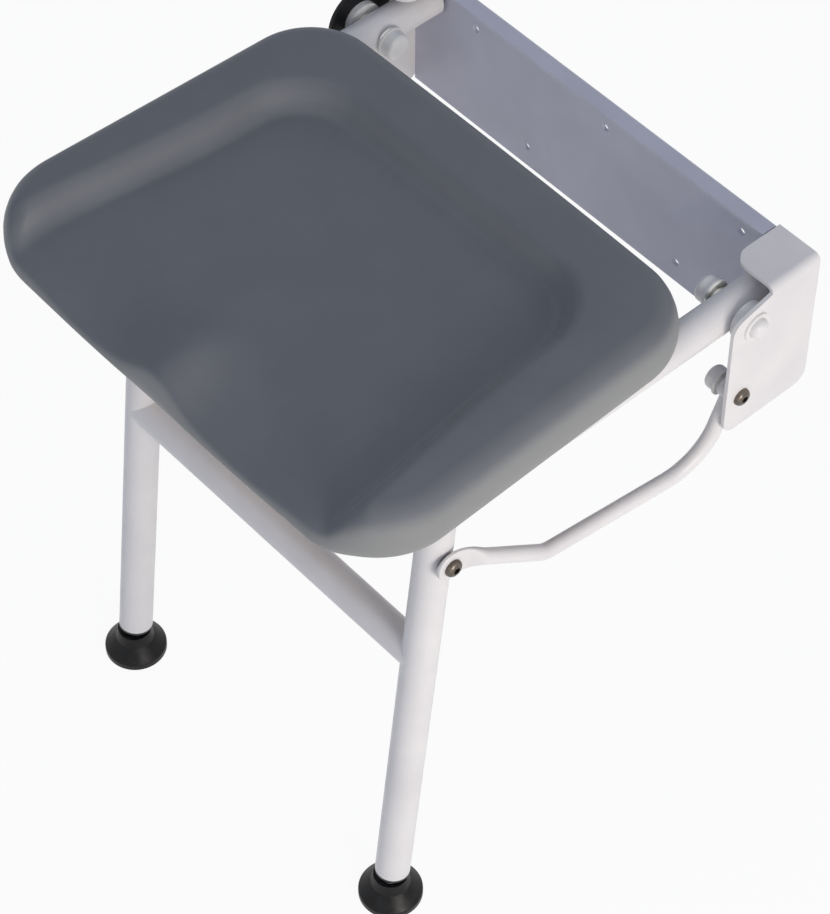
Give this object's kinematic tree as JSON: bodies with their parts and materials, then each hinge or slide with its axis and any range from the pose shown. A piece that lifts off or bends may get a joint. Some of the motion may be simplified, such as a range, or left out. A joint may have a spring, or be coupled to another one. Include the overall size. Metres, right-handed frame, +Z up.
{
  "type": "fold down wall seat",
  "caption": "Wall-mounted seat whose moulded pad folds up on a tube frame; its legs swing on a strut linkage and stay upright.",
  "frame": {"origin": "centre of the bracket's rear face, on the wall, halfway up the bracket", "axes": "+X to the right of a person facing the wall, +Y into the wall, +Z up; the seat is folded down at rest"},
  "size_m": [0.4352, 0.4203, 0.5295],
  "materials": {
    "powder_coat": "satin white",
    "zinc_plate": "bright zinc",
    "dark_bolt": "blackened",
    "white_nylon": "satin",
    "black_nylon": "satin",
    "bush": "satin",
    "foot_rubber": "matte",
    "pad_skin": "soft grained",
    "plywood": "sanded"
  },
  "bodies": {
    "bracket": {"wall_plate": "powder_coat", "cheek_left": "powder_coat", "cheek_right": "powder_coat", "hinge_bolts": "powder_coat", "hinge_head_washers": "white_nylon", "hinge_spacers": "white_nylon", "friction_disc": "foot_rubber", "hinge_nut_washers": "zinc_plate", "hinge_nuts": "zinc_plate", "hinge_nut_caps": "white_nylon", "strut_rear_bolts": "dark_bolt", "strut_rear_washers": "zinc_plate", "strut_rear_nuts": "zinc_plate", "strut_rear_caps": "white_nylon"},
    "seat": {"seat_tube_left": "powder_coat", "seat_tube_right": "powder_coat", "hinge_sleeves": "zinc_plate", "rear_rail": "powder_coat", "front_rail": "powder_coat", "seat_tube_plugs": "white_nylon", "leg_lug_left": "powder_coat", "leg_lug_right": "powder_coat", "leg_pivot_bolts": "dark_bolt", "leg_pivot_washers": "zinc_plate", "leg_pivot_nuts": "zinc_plate", "leg_pivot_caps": "white_nylon", "leg_pivot_spacers": "bush", "pad_board": "plywood", "board_screws": "dark_bolt", "board_inserts": "zinc_plate", "seat_pad": "pad_skin"},
    "legs": {"leg_tube_left": "powder_coat", "leg_tube_right": "powder_coat", "leg_bushes": "bush", "leg_crossbar": "powder_coat", "leg_top_plugs": "black_nylon", "strut_front_bolts": "dark_bolt", "strut_front_spacers": "bush", "strut_front_nuts": "zinc_plate", "strut_front_caps": "white_nylon", "foot_inserts": "black_nylon", "foot_stems": "zinc_plate"},
    "strut_left": {"strut_left": "powder_coat", "strut_bushes_left": "bush"},
    "strut_right": {"strut_right": "powder_coat", "strut_bushes_right": "bush"},
    "foot_left": {"foot_left": "foot_rubber"},
    "foot_right": {"foot_right": "foot_rubber"}
  },
  "joints": [
    {"name": "seat_fold", "type": "hinge", "parent": "bracket", "child": "seat", "pos_m": [0, -0.061, 0.036], "axis": [-1, 0, 0], "range_deg": [0, 90]},
    {"name": "leg_fold", "type": "hinge", "parent": "seat", "child": "legs", "pos_m": [0, -0.303, 0.014], "axis": [-1, 0, 0], "range_deg": [-90, 0]},
    {"name": "strut_left_swing", "type": "hinge", "parent": "bracket", "child": "strut_left", "pos_m": [-0.2, -0.06816, -0.03213], "axis": [-1, 0, 0], "range_deg": [0, 90]},
    {"name": "strut_right_swing", "type": "hinge", "parent": "bracket", "child": "strut_right", "pos_m": [0.2, -0.06816, -0.03213], "axis": [-1, 0, 0], "range_deg": [0, 90]},
    {"name": "foot_left_tilt", "type": "hinge", "parent": "legs", "child": "foot_left", "pos_m": [-0.1565, -0.35004, -0.43354], "axis": [1, 0, 0], "range_deg": [-10, 10]},
    {"name": "foot_right_tilt", "type": "hinge", "parent": "legs", "child": "foot_right", "pos_m": [0.1565, -0.35004, -0.43354], "axis": [1, 0, 0], "range_deg": [-10, 10]}
  ],
  "couplings": [
    {"joint": "leg_fold", "follows": "seat_fold", "ratio": -1},
    {"joint": "strut_left_swing", "follows": "seat_fold", "ratio": 1},
    {"joint": "strut_right_swing", "follows": "seat_fold", "ratio": 1}
  ]
}
